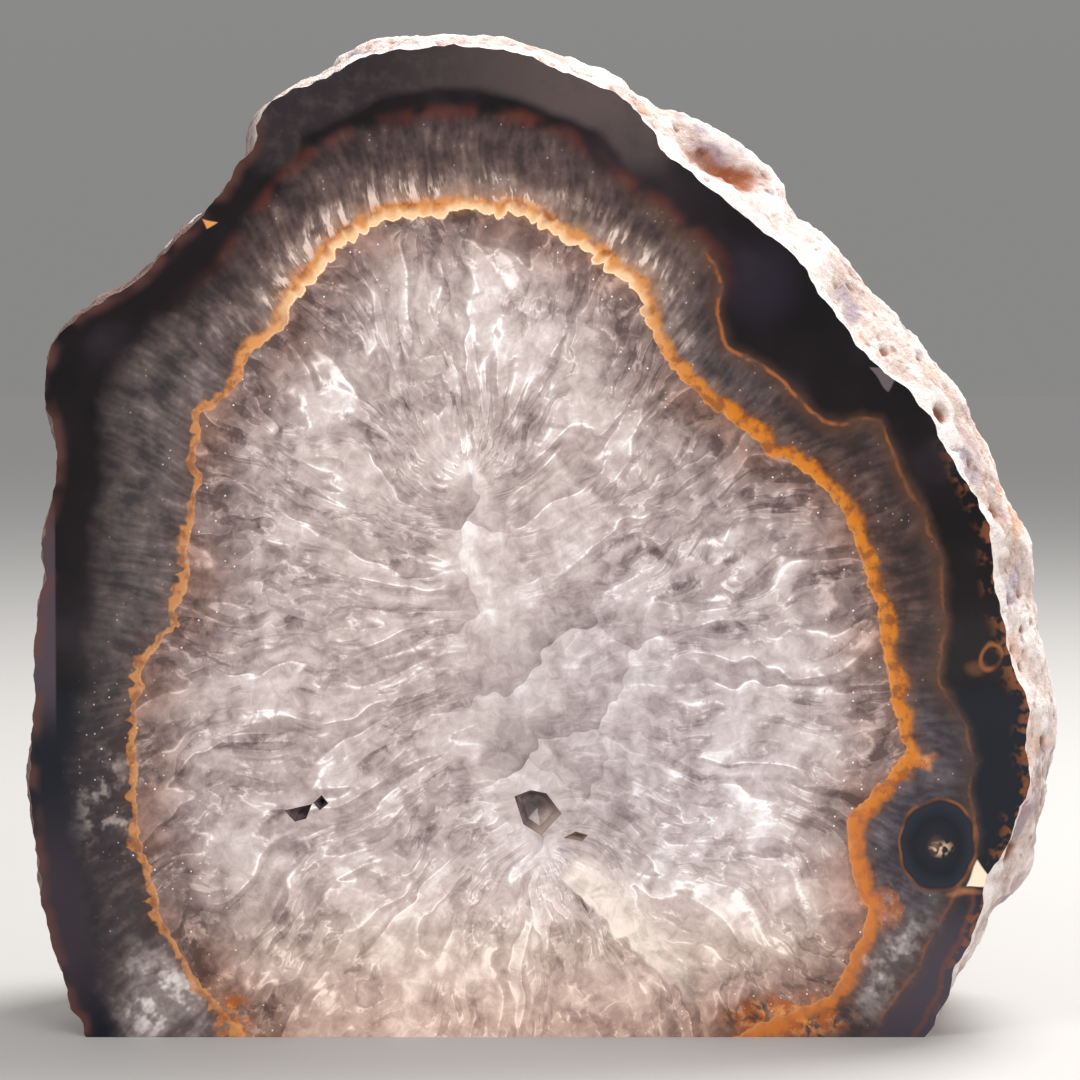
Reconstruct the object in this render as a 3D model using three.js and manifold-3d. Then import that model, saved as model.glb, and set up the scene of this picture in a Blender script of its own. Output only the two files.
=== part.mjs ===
// An agate geode that stands on a sawn base: the thick end of a nodule, with its
// front sawn flat and polished, its foot sawn flat, and its natural rind left rough.
// Millimetres, +Z up. The polished face looks along -Y, and the origin is under the
// middle of the stone, on its base.
import * as THREE from "three";
import { ImprovedNoise } from "three/addons/math/ImprovedNoise.js";
import { mergeVertices } from "three/addons/utils/BufferGeometryUtils.js";
import Module from "manifold-3d";

// Driving dimensions
const stoneDepth = 80; // polished face to the back of the nodule
const girthDepth = 15; // how far behind the face the nodule is widest
const heartHeight = 69; // height of the nodule's axis over the sawn base
const backShift = { x: 7, z: -9 }; // how far the back end lies off that axis
const backFullness = { radius: 0.72, depth: 0.9 }; // under 1 makes the back squarer

// How finely the skin is divided: points round each ring, rings before and behind the
// girth, and where behind the girth the points round a ring are halved
const aroundCount = 176;
const frontRings = 5;
const backRings = 28;
const halvings = [1.55, 1.8, 1.92];

// The edge of the polished face, seen from the front as [x, z], from the right foot
// up the right side, over the top, down the left side and round the part that the
// base cut takes away
const faceOutline = [
  [60.5, 0], [63.5, 5.5], [65.5, 11.5], [68, 17], [70, 22], [69.5, 25], [72.5, 28.5], [74.5, 34],
  [76.5, 39.5], [76, 45], [76.5, 52], [74.5, 57.5], [72.5, 64], [71.5, 69], [70.5, 74.5], [70.5, 80],
  [68, 84.5], [65, 89.5], [62.5, 94], [59.5, 99.5], [55.5, 103], [51, 106.5], [49, 110], [45.5, 114],
  [41.5, 119.5], [39, 123.5], [35, 125.5], [31, 129.5], [26, 133], [21.5, 137], [19, 138.5], [17.5, 142.5],
  [14.5, 145], [10, 148.5], [4.5, 150.5], [-4.5, 154], [-11, 155], [-17.5, 154.5], [-23.5, 154], [-29, 152.5],
  [-34.5, 149.5], [-39, 148], [-43, 145], [-44.5, 142], [-44, 139], [-47.5, 135.5], [-50, 131.5], [-52, 129],
  [-57, 124], [-64, 117.5], [-69.5, 114.5], [-73, 112], [-76, 109], [-77, 105], [-76.5, 97], [-75, 89],
  [-76.5, 83.5], [-77.5, 77], [-77, 72.5], [-78.5, 67.5], [-79, 59.5], [-79, 52], [-80, 39], [-79, 30],
  [-77.5, 19], [-75, 10.5], [-72.5, 3], [-71, 0], [-64, -8], [-50, -16], [-30, -22], [-5, -25],
  [22, -23], [44, -15], [55, -7],
];

// The edge of the rind where the nodule is widest, which shows past the face at the
// top and the right, and turns in behind it on the left
const girthOutline = [
  [63.5, 1], [66.5, 5], [69, 9.5], [71.5, 14.5], [73.5, 19], [76, 21.5], [78, 23], [79, 27],
  [80, 32], [81.5, 40], [82.5, 45], [82.5, 49], [81.5, 53], [79.5, 61], [79, 67], [79, 74.5],
  [78, 78], [75.5, 82.5], [73.5, 86], [72, 90], [68.5, 97.5], [68.5, 99.5], [64.5, 104], [62.5, 107],
  [60, 109.5], [56.5, 113], [53, 116.5], [50.5, 120], [47, 123.5], [42.5, 128], [40, 130.2], [40.5, 132.5],
  [38.5, 135], [36.5, 137.5], [34, 139.5], [32, 142], [28.5, 143.5], [25, 144.5], [22, 146], [16.5, 148],
  [10, 151.5], [3.5, 154.5], [-2.5, 156.5], [-8, 157], [-20, 157], [-26.5, 156], [-31.5, 153], [-35.5, 150],
  [-40.5, 149], [-45, 145], [-46.5, 141.5], [-45.5, 138.5], [-50, 133], [-58.5, 124.5], [-66, 118],
  [-76, 111.5], [-78.5, 106], [-77.5, 96], [-76.5, 88], [-77.5, 78], [-79, 66], [-80, 52], [-80.5, 39],
  [-79, 28], [-76, 12], [-72, 0], [-65, -9], [-50, -18], [-30, -24], [-5, -27], [22, -25], [46, -16],
  [57, -7],
];

// The rough skin: broad lumps, flat-topped ledges, small knobs and pits
const lumpSize = 30;
const lumpHeight = 4.2;
const ledgeSize = 38;
const ledgeCount = 3; // ledges over the whole swing of the noise
const ledgeHeight = 2.8;
const ledgeFront = { from: 0.22, to: 0.78 }; // share of each ledge's width that slopes
const knobSize = 11;
const knobHeight = 1.3;
const calm = { lumps: 0.16, knobs: 0.45 }; // share of each kept beside the face
const pitCount = 120;
const pitRadius = { small: 2.4, large: 6.5 };
const pitShare = 0.36; // depth of a pit over its radius

// The hollow under the crust's lip at the upper right, as a chain of dents
const lipHollow = {
  from: { angle: 71, depth: 5 },
  to: { angle: 62, depth: 7.5 },
  radius: 3.4,
  sink: 3,
  dents: 6,
};

// Gaps between the crystals on the face, each a flat-sided hole that narrows to a point:
// its corners as [x, z], and the point as [x, z] and its depth
const crystalGaps = [
  { corners: [[-4, 38], [-1.5, 39], [1, 38.5], [3.4, 35.3], [0.2, 31.8], [-2.6, 33.6]], point: [0.4, 34.2], depth: 6 },
  { corners: [[3.7, 31.5], [5.6, 32.5], [7.5, 31.9], [6.6, 30.9]], point: [5.8, 31.2], depth: 4 },
  { corners: [[-40, 35.8], [-35.7, 36.8], [-36.6, 34.5], [-38.4, 34]], point: [-37, 35], depth: 4 },
  { corners: [[-35.5, 37], [-34.2, 38.2], [-33.1, 36.9], [-34.5, 35.8]], point: [-34.5, 36.8], depth: 3.5 },
];
const gapOverrun = 1; // how far each gap's cutter stands proud of the face

const noise = new ImprovedNoise();
const radians = THREE.MathUtils.degToRad;
const smooth = (low, high, value) => THREE.MathUtils.smoothstep(value, low, high);

// Layered noise, from about -1 to 1
function roughness(x, y, z, layers) {
  let sum = 0;
  let weight = 1;
  let total = 0;
  for (let layer = 0; layer < layers; layer++) {
    const scale = 2 ** layer;
    sum += weight * noise.noise(x * scale, y * scale, z * scale);
    total += weight;
    weight /= 2;
  }
  return (1.6 * sum) / total;
}

// A small repeatable random number source
function dice(seed) {
  let state = seed;
  return () => {
    state = (state * 16807) % 2147483647;
    return state / 2147483647;
  };
}

// The reach of a closed outline from the nodule's axis, as a function of the angle
function reachOf(outline) {
  const corners = outline.map(([x, z]) => new THREE.Vector3(x, 0, z));
  const curve = new THREE.CatmullRomCurve3(corners, true, "centripetal");
  const samples = curve.getPoints(outline.length * 8).map((p) => ({
    angle: Math.atan2(p.z - heartHeight, p.x),
    reach: Math.hypot(p.x, p.z - heartHeight),
  }));
  samples.sort((a, b) => a.angle - b.angle);
  return (angle) => {
    const turned = Math.atan2(Math.sin(angle), Math.cos(angle));
    const next = samples.findIndex((s) => s.angle > turned);
    const high = samples[next < 0 ? 0 : next];
    const low = samples.at(next - 1);
    const span = high.angle - low.angle + (high.angle < low.angle ? 2 * Math.PI : 0);
    const along = turned - low.angle + (turned < low.angle ? 2 * Math.PI : 0);
    return THREE.MathUtils.lerp(low.reach, high.reach, span > 0 ? along / span : 0);
  };
}

const faceReach = reachOf(faceOutline);
const girthReach = reachOf(girthOutline);

// The girth with its small bays and points evened out, for the skin further back
const evenSpread = radians(24);
const evenSamples = 9;
function evenedReach(angle) {
  let sum = 0;
  for (let i = 0; i < evenSamples; i++) {
    sum += girthReach(angle + evenSpread * (i / (evenSamples - 1) - 0.5));
  }
  return sum / evenSamples;
}

// Angles that divide the face's edge evenly, so that every ring has the same count
function evenAngles() {
  const corners = faceOutline.map(([x, z]) => new THREE.Vector3(x, 0, z));
  const curve = new THREE.CatmullRomCurve3(corners, true, "centripetal");
  curve.arcLengthDivisions = 2000;
  return curve
    .getSpacedPoints(aroundCount)
    .slice(0, aroundCount)
    .map((p) => Math.atan2(p.z - heartHeight, p.x));
}

// The skin without its relief. Station runs from 0 at the face, through 1 at the
// girth, to 2 at the back end.
function plainSkin(angle, station) {
  let reach;
  let depth = girthDepth * station;
  if (station <= 1) {
    reach = THREE.MathUtils.lerp(faceReach(angle), girthReach(angle), Math.sin((station * Math.PI) / 2));
  } else {
    const turn = ((station - 1) * Math.PI) / 2;
    const widest = THREE.MathUtils.lerp(girthReach(angle), evenedReach(angle), smooth(1, 1.4, station));
    reach = widest * Math.max(0, Math.cos(turn)) ** backFullness.radius;
    depth = girthDepth + (stoneDepth - girthDepth) * Math.sin(turn) ** backFullness.depth;
  }
  const behind = Math.max(0, (depth - girthDepth) / (stoneDepth - girthDepth)) ** 2;
  return new THREE.Vector3(
    reach * Math.cos(angle) + backShift.x * behind,
    depth,
    heartHeight + reach * Math.sin(angle) + backShift.z * behind,
  );
}

// A point of the plain skin, with the way out of the stone there. The way out is
// taken over a few degrees and a few millimetres, so that it turns gently.
const outSpread = { angle: radians(5), station: 0.08 };
function skinPoint(angle, station) {
  const place = plainSkin(angle, station);
  const low = Math.max(0, station - outSpread.station);
  const high = Math.min(2 - outSpread.station, station + outSpread.station);
  if (low >= high) return { place, out: new THREE.Vector3(0, 1, 0) };
  const along = plainSkin(angle, high).sub(plainSkin(angle, low));
  const around = plainSkin(angle + outSpread.angle, station).sub(plainSkin(angle - outSpread.angle, station));
  return { place, out: along.cross(around).normalize() };
}

// Pits all over the rind, and the chain of dents under the lip
function pits() {
  const roll = dice(71);
  const made = [];
  for (let i = 0; i < pitCount; i++) {
    const angle = 2 * Math.PI * roll();
    const station = 0.35 + 1.6 * roll();
    const radius = THREE.MathUtils.lerp(pitRadius.small, pitRadius.large, roll() ** 2);
    const small = station < 1 ? 0.6 : 1;
    made.push({ centre: skinPoint(angle, station).place, radius: radius * small, sink: pitShare * radius * small });
  }
  for (let i = 0; i < lipHollow.dents; i++) {
    const part = i / (lipHollow.dents - 1);
    const angle = radians(THREE.MathUtils.lerp(lipHollow.from.angle, lipHollow.to.angle, part));
    const depth = THREE.MathUtils.lerp(lipHollow.from.depth, lipHollow.to.depth, part);
    made.push({
      centre: skinPoint(angle, depth / girthDepth).place,
      radius: lipHollow.radius,
      sink: lipHollow.sink,
    });
  }
  return made;
}

const allPits = pits();

// How far the rough skin stands out from the plain one at a place
function relief(place) {
  const { x, y, z } = place;
  const behind = smooth(girthDepth, girthDepth * 2.2, y);
  const lumps = lumpHeight * roughness(x / lumpSize, y / lumpSize, z / lumpSize, 2);
  const rise = ledgeCount * roughness(x / ledgeSize + 9.3, y / ledgeSize + 4.1, z / ledgeSize, 2);
  const step = Math.floor(rise) + smooth(ledgeFront.from, ledgeFront.to, rise - Math.floor(rise));
  const ledges = ledgeHeight * (step - rise);
  const knobs = knobHeight * roughness(x / knobSize, y / knobSize + 2.6, z / knobSize, 1);
  let height = THREE.MathUtils.lerp(calm.lumps, 1, behind) * (lumps + ledges);
  height += THREE.MathUtils.lerp(calm.knobs, 1, behind) * knobs;
  for (const { centre, radius, sink } of allPits) {
    const away = place.distanceTo(centre) / radius;
    if (away < 1) height -= sink * (1 - away * away);
  }
  return height * smooth(0, 4, y);
}

// The rings of the skin from the face to the back end, each with its points' angles
function skinRings() {
  const rings = [];
  const angles = evenAngles();
  for (let i = 0; i <= frontRings; i++) rings.push({ station: i / frontRings, angles });
  for (let i = 1; i < backRings; i++) {
    const station = 1 + i / backRings;
    const skip = 2 ** halvings.filter((s) => s < station).length;
    rings.push({ station, angles: angles.filter((_, step) => step % skip === 0) });
  }
  return rings;
}

// Triangles between two rings of points. The second has as many points, or half.
function bandFaces(first, count, second, nextCount) {
  const faces = [];
  const halved = nextCount < count;
  const at = (step) => first + (step % count);
  const next = (step) => second + (step % nextCount);
  for (let step = 0; step < nextCount; step++) {
    const [c, d] = [next(step), next(step + 1)];
    if (halved) {
      const [a, b, e] = [at(2 * step), at(2 * step + 1), at(2 * step + 2)];
      faces.push(a, c, b, b, c, d, b, d, e);
    } else {
      const [a, b] = [at(step), at(step + 1)];
      faces.push(a, c, b, b, c, d);
    }
  }
  return faces;
}

// The whole nodule behind the polished face, before the base is sawn off
function noduleGeometry() {
  const rings = skinRings();
  const points = [];
  const faces = [];
  rings.forEach(({ station, angles }, i) => {
    if (i > 0) {
      const count = rings[i - 1].angles.length;
      faces.push(...bandFaces(points.length - count, count, points.length, angles.length));
    }
    for (const angle of angles) {
      const { place, out } = skinPoint(angle, station);
      points.push(place.addScaledVector(out, relief(place)));
    }
  });

  const lastCount = rings.at(-1).angles.length;
  const last = points.length - lastCount;
  for (let step = 0; step < lastCount; step++) {
    faces.push(last + step, points.length, last + ((step + 1) % lastCount));
  }
  const backEnd = skinPoint(0, 2);
  points.push(backEnd.place.addScaledVector(backEnd.out, relief(backEnd.place)));

  const edge = points.slice(0, aroundCount).map((p) => new THREE.Vector2(p.x, p.z));
  for (const [a, b, c] of THREE.ShapeUtils.triangulateShape(edge, [])) {
    const turn = THREE.ShapeUtils.area([edge[a], edge[b], edge[c]]);
    faces.push(...(turn > 0 ? [a, b, c] : [a, c, b]));
  }
  const geometry = new THREE.BufferGeometry().setFromPoints(points);
  return geometry.setIndex(faces);
}

// A cutter for one gap between crystals: flat sides from its corners to its point
function gapGeometry({ corners, point, depth }) {
  const widen = (depth + gapOverrun) / depth;
  const points = corners.map(
    ([x, z]) =>
      new THREE.Vector3(
        point[0] + (x - point[0]) * widen,
        -gapOverrun,
        point[1] + (z - point[1]) * widen,
      ),
  );
  points.push(new THREE.Vector3(point[0], depth, point[1]));
  const tip = corners.length;
  const faces = [];
  corners.forEach((_, i) => faces.push(i, (i + 1) % tip, tip));
  for (let i = 1; i + 1 < tip; i++) faces.push(0, i + 1, i);
  return new THREE.BufferGeometry().setFromPoints(points).setIndex(faces);
}

const wasm = await Module();
wasm.setup();

// A closed geometry as a solid that can be joined and cut
function solidOf(geometry) {
  const bare = geometry.clone();
  bare.deleteAttribute("normal");
  bare.deleteAttribute("uv");
  const merged = mergeVertices(bare, 1e-3);
  return new wasm.Manifold(
    new wasm.Mesh({
      numProp: 3,
      vertProperties: merged.attributes.position.array,
      triVerts: new Uint32Array(merged.index.array),
    }),
  );
}

function geometryOf(solid) {
  const { vertProperties, triVerts } = solid.getMesh();
  const geometry = new THREE.BufferGeometry();
  geometry.setAttribute("position", new THREE.BufferAttribute(vertProperties, 3));
  geometry.setIndex(new THREE.BufferAttribute(triVerts, 1));
  return geometry;
}

// The nodule with its foot sawn off level and the crystal gaps opened in its face
function geodeGeometry() {
  const block = 400;
  const waste = new THREE.BoxGeometry(block, block, block).translate(0, 0, -block / 2);
  let stone = solidOf(noduleGeometry()).subtract(solidOf(waste));
  for (const gap of crystalGaps) {
    const cutter = solidOf(gapGeometry(gap));
    stone = stone.subtract(cutter);
  }
  const geometry = geometryOf(stone);
  geometry.computeBoundingBox();
  const middle = geometry.boundingBox.getCenter(new THREE.Vector3());
  return geometry.translate(-middle.x, -middle.y, -geometry.boundingBox.min.z);
}

const stoneMaterial = new THREE.MeshStandardMaterial({
  color: "#b3a39c",
  roughness: 0.7,
  metalness: 0,
});

const geode = new THREE.Group();
const stone = new THREE.Mesh(geodeGeometry(), stoneMaterial);
stone.name = "agate_geode";
geode.add(stone);

export default geode;
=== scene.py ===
import math
import bpy
import numpy as np
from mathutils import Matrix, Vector, geometry, noise


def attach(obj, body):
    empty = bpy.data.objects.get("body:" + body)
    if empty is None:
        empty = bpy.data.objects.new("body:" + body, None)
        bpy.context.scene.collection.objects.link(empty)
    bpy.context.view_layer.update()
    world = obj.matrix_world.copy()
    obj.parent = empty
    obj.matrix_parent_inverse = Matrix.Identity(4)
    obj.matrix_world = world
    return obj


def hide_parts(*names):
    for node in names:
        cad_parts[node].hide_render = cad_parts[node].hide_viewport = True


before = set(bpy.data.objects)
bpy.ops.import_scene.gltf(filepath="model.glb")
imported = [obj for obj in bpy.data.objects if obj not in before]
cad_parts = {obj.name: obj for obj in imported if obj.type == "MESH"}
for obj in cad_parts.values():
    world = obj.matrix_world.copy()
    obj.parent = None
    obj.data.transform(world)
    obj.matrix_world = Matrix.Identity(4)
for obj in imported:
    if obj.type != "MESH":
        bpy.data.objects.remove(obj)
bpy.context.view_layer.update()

mm = 0.001
hair = 0.02 * mm                # the frame's cuts are flat to this, the filled ones to a tenth of it
node = bpy.data.objects["agate_geode"]
print("frame loaded")

# The stone stands on z = 0 with its polished face at the lowest y. Places on the face
# are [x, z] in mm, with x counted from the column through the middle of the picture.
geode = {
    "middleX": -1.1,            # where that column falls in the part's frame
    "smoothing": 2,             # subdivision levels of the rough skin
    "faceSpacing": 0.95,        # mm between points on the polished face
    "baseSpacing": 1.4,         # mm between points on the sawn base
    "cutWobble": 0.5,           # mm that a cut's edge strays in the cut's own plane
    "wobbleSizes": [4.5, 1.7],  # mm from one such bend to the next
    "quietDepth": 1.5,          # mm behind a cut's edge in which the roughness starts
    "stainHeight": 9,           # mm above the base up to which the seam's stains spread
    "weld": 0.002,              # mm within which the frame's points are one
    "sheetWeld": 0.003,         # the same where the filled cuts join the skin
}
rind = {
    "evening": 12,              # rounds of averaging that the hollows are measured against
    "lumpSize": 8.5, "lumpHeight": 0.9,
    "crumbSize": 2.6, "crumbHeight": 0.6,
    "pits": [
        {"cell": 8.5, "share": 0.4, "radius": 0.3, "depth": 1.7},
        {"cell": 3.4, "share": 0.5, "radius": 0.38, "depth": 1.0},
    ],
}
gaps = {                        # the four holes between crystals
    "corners": [
        [[-4, 38], [-1.5, 39], [1, 38.5], [3.4, 35.3], [0.2, 31.8], [-2.6, 33.6]],
        [[3.7, 31.5], [5.6, 32.5], [7.5, 31.9], [6.6, 30.9]],
        [[-40, 35.8], [-35.7, 36.8], [-36.6, 34.5], [-38.4, 34]],
        [[-35.5, 37], [-34.2, 38.2], [-33.1, 36.9], [-34.5, 35.8]],
    ],
    "steps": [(0.12, 1.1), (0.5, 1.2), (0.3, 0.9)],   # mm in from the wall, mm deeper
    "point": 0.6,               # mm that the middle of each floor lies deeper still
    "height": 60, "reach": 50, "depth": 8,    # all lie within reach of this height, at most so deep
}
# Two lines on the face, each from the bottom left over the top to the bottom right
bands = {
    "darkEdge": [                # where the near-black agate ends and clear quartz begins
        [-66.5, -0.5], [-67.5, 4.5], [-69.5, 12.5], [-70.5, 18.5], [-72, 29.5], [-73, 36], [-73, 44.5],
        [-71.5, 52.5], [-71, 60], [-69.5, 71], [-68.5, 83], [-67.5, 92], [-67.5, 101], [-65, 106],
        [-58.5, 112.5], [-54, 115], [-49.5, 119.5], [-46.5, 124], [-40, 132.5], [-34, 138.5], [-25.5, 141.5],
        [-17, 143.5], [-9, 143.5], [-3.5, 143], [4, 140], [10.5, 134.5], [18.5, 129.5], [24, 125],
        [27, 122], [28.5, 118.5], [28, 114.5], [28.5, 111.5], [29.5, 108.5], [32, 107], [35, 105.5],
        [38, 103.5], [40.5, 100.5], [42.5, 98.5], [44.5, 97], [47, 96.5], [50.5, 97.5], [53, 97],
        [54.5, 94], [57, 88], [60.5, 81.5], [63, 75], [63.5, 63], [62.5, 57], [64, 53.5], [67, 49],
        [68, 44], [67.5, 38.5], [69, 32.5], [68.5, 29], [66, 23], [62, 16.5], [59.5, 10.5], [55.5, 5],
        [51.5, -0.5],
    ],
    "seam": [                    # the orange iron-stained line inside the clear quartz
        [-46.5, -0.5], [-48.5, 2.5], [-50.5, 5], [-53, 7], [-55, 10.5], [-57, 13.5], [-58, 16], [-60, 19],
        [-60.5, 22.5], [-61.5, 25.5], [-62, 28.5], [-63, 31.5], [-63.5, 38.5], [-63.5, 46.5],
        [-63.5, 52.5], [-62.5, 55.5], [-62.5, 58.5], [-61.5, 60], [-59.5, 62], [-59, 63.5], [-56.5, 64.5],
        [-57.5, 67.5], [-56.5, 69], [-55.5, 71.5], [-55, 73], [-55.5, 75], [-55.5, 78], [-54.5, 80.5],
        [-54.5, 83], [-54, 85.5], [-53, 87.5], [-54, 89.5], [-54, 92.5], [-53, 95], [-53.5, 98],
        [-51.5, 99], [-49, 100.5], [-47, 103.5], [-46.5, 105.5], [-45, 108], [-42, 110], [-40, 111.5],
        [-39, 115], [-37, 118], [-34, 120.5], [-32, 123.5], [-29.5, 125.5], [-27.5, 127], [-23.5, 128.5],
        [-20, 129], [-16, 129], [-12.5, 130], [-7.5, 129.5], [-3.5, 129.5], [-0.5, 128], [2.5, 126],
        [5.5, 124.5], [8, 123], [10.5, 121], [12.5, 119.5], [15, 118], [16, 115.5], [16.5, 113.5],
        [17.5, 111], [19, 108.5], [20.5, 105.5], [23, 102.5], [25, 101], [28, 98.5], [31.5, 96],
        [34.5, 94], [35.5, 91.5], [38.5, 91], [41, 89.5], [43.5, 87.5], [45.5, 85.5], [47.5, 83], [49, 80],
        [49.5, 77], [51, 74.5], [51.5, 71], [53, 68], [53.5, 64], [54, 61], [54.5, 58.5], [55.5, 55.5],
        [55, 52.5], [56.5, 50], [56.5, 47], [57.5, 45], [56.5, 43], [54.5, 41], [52.5, 39], [51, 37],
        [49, 35], [48.5, 32.5], [48.5, 29], [49.5, 26], [50, 23], [51.5, 20.5], [51.5, 18], [50.5, 15.5],
        [49, 12.5], [48, 9.5], [46, 7], [43, 5], [40, 4], [36.5, 2.5], [34, 1.5], [31, 0],
    ],
    "seamReach": [-4, 5],        # mm inside and outside the seam that its own material covers
    "hiddenDepth": 18,           # mm below the base at which both lines would close
    "fanFrom": [-11.7, 89.9], "fanTo": [0.8, 27.5],   # the crystals point at this stretch
    "fanReach": 66,              # mm from that stretch at which the fan is true to size
    "baseDark": 6.5, "baseSeam": 26,   # mm from the rind to both lines, under the base
}
marks = {                       # smaller things on the face; directions are (x, z, 0)
    "creamCrystal": {"at": [5.5, 22.8], "along": (0.722, -0.694, 0), "across": (0.694, 0.722, 0)},
    # The radius is in mm, and an upScale below 1 makes an eye taller than wide
    "eye": {"at": [62.3, 30.3], "radius": 6.0, "upScale": 0.84},
    "smallEye": {"at": [70.6, 60.0], "radius": 1.6, "upScale": 0.75},
    # Broken places are three-sided: [x, z] of the corners clockwise, and the colour there
    "chips": [
        ([(68.4, 28.0), (71.0, 24.2), (67.0, 23.8)], (240, 216, 192)),
        ([(-52.4, 128.6), (-50.4, 127.7), (-51.6, 126.8)], (208, 142, 84)),
        ([(51.2, 105.2), (56.4, 104.8), (54.2, 101.4)], (92, 82, 86)),
        ([(-64.0, 32.0), (-60.8, 36.2), (-66.2, 33.6)], (178, 172, 174)),
    ],
}
faceY = min(v.co.y for v in node.data.vertices)


def onlySelect(piece):
    bpy.ops.object.select_all(action="DESELECT")
    piece.select_set(True)
    bpy.context.view_layer.objects.active = piece


def editMode(piece, what="FACE"):
    onlySelect(piece)
    bpy.ops.object.mode_set(mode="EDIT")
    bpy.ops.mesh.select_mode(type=what)


def objectMode():
    bpy.ops.object.mode_set(mode="OBJECT")


def selectFaces(piece, test):
    editMode(piece)
    bpy.ops.mesh.select_all(action="DESELECT")
    objectMode()
    for face in piece.data.polygons:
        face.select = bool(test(face))
    editMode(piece)


def smoothStep(low, high, value):
    part = np.clip((np.asarray(value) - low) / (high - low), 0, 1)
    return part * part * (3 - 2 * part)


def chance(place):
    # A number from 0 to 1 that belongs to the place
    return abs(math.sin(place[0] * 12.99 + place[1] * 78.23 + place[2] * 37.72) * 4375.85) % 1


def cutOf(face, within):
    # Which of the two cuts a face lies in, if any
    if face.normal.y < -0.99 and face.center.y < faceY + within:
        return "face"
    if face.normal.z < -0.99 and face.center.z < within:
        return "base"
    return None


def nearGaps(place):
    fromMiddle = math.hypot(place.x, place.z - gaps["height"] * mm)
    return place.y < faceY + gaps["depth"] * mm and fromMiddle < gaps["reach"] * mm


# The rough skin: the frame's stone without its two cuts, rounded off and then roughened
def openShell():
    piece = node.copy()
    piece.data = node.data.copy()
    piece.name = piece.data.name = "geode"
    bpy.context.collection.objects.link(piece)
    editMode(piece, "VERT")
    bpy.ops.mesh.select_all(action="SELECT")
    bpy.ops.mesh.remove_doubles(threshold=geode["weld"] * mm)
    objectMode()

    selectFaces(piece, lambda face: cutOf(face, hair) or nearGaps(face.center))
    bpy.ops.mesh.delete(type="FACE")
    bpy.ops.mesh.select_all(action="SELECT")
    bpy.ops.mesh.tris_convert_to_quads(face_threshold=math.radians(60), shape_threshold=math.radians(60))
    objectMode()

    # The two feet of the face stay sharp corners
    crease = piece.data.attributes.new("crease_vert", "FLOAT", "POINT")
    for vertex in piece.data.vertices:
        if vertex.co.y < faceY + hair and vertex.co.z < hair:
            crease.data[vertex.index].value = 1
    rounding = piece.modifiers.new("rounding", "SUBSURF")
    rounding.levels = rounding.render_levels = geode["smoothing"]
    onlySelect(piece)
    bpy.ops.object.modifier_apply(modifier=rounding.name)
    return piece


def pitAt(place, pit):
    # Round pits, one in some of the cells of a loose pattern
    nearest, centres = noise.voronoi(place / (pit["cell"] * mm))
    if chance(centres[0]) > pit["share"]:
        return 0
    radius = pit["radius"] * (0.55 + 0.45 * chance(centres[0] * 1.7))
    away = nearest[0] / radius
    return pit["depth"] * max(0, 1 - away * away)


def roughen(piece):
    hollows = piece.data.attributes.new("pit", "FLOAT", "POINT")
    moves = []
    touching, quiet = 0.001, geode["quietDepth"]         # both in mm
    for vertex in piece.data.vertices:
        place, out = vertex.co, vertex.normal
        lump = noise.fractal(place / (rind["lumpSize"] * mm), 1.0, 2.1, 4)
        crumb = noise.turbulence(place / (rind["crumbSize"] * mm), 3, True) - 0.5
        pit = sum(pitAt(place, kind) for kind in rind["pits"])
        height = rind["lumpHeight"] * lump + rind["crumbHeight"] * crumb - pit
        behind, above = (place.y - faceY) / mm, place.z / mm
        loud = float(smoothStep(0, quiet, behind) * smoothStep(0, quiet, above))
        bends = sum(noise.noise(place / (size * mm)) for size in geode["wobbleSizes"])
        stray = geode["cutWobble"] * bends
        move = out * (height * loud + stray * (1 - loud)) * mm
        if behind < touching:
            move.y = 0
        if above < touching:
            move.z = 0
        hollows.data[vertex.index].value = pit * loud
        moves.append(move)
    for vertex, move in zip(piece.data.vertices, moves):
        vertex.co += move
        vertex.co.z = max(0, vertex.co.z)
        vertex.co.y = max(faceY, vertex.co.y)


# The two cuts: flat sheets of even triangles that end on the skin's edge
def inside(points, loop):
    x, y = points[:, 0:1], points[:, 1:2]
    ax, ay = loop[:, 0], loop[:, 1]
    bx, by = np.roll(ax, -1), np.roll(ay, -1)
    rise = np.where(np.abs(by - ay) < 1e-12, 1e-12, by - ay)
    crossed = ((ay > y) != (by > y)) & (x < (bx - ax) * (y - ay) / rise + ax)
    return crossed.sum(axis=1) % 2 == 1


def lineReading(points, line):
    # For each point: distance to the line, and how far along the line the nearest place is
    atOnce = 4000                                # points, to save memory
    starts, ends = line[:-1], line[1:]
    spans = ends - starts
    lengths = np.maximum(np.linalg.norm(spans, axis=1), 1e-9)
    runs = np.concatenate([[0], np.cumsum(lengths)[:-1]])
    away, along = np.empty(len(points)), np.empty(len(points))
    for first in range(0, len(points), atOnce):
        some = points[first:first + atOnce]
        part = ((some[:, None] - starts) * spans).sum(2) / lengths ** 2
        part = np.clip(part, 0, 1)
        gap = np.linalg.norm(some[:, None] - (starts + part[..., None] * spans), axis=2)
        nearest = gap.argmin(axis=1)
        rows = np.arange(len(some))
        away[first:first + atOnce] = gap[rows, nearest]
        along[first:first + atOnce] = runs[nearest] + part[rows, nearest] * lengths[nearest]
    return away, along


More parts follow.
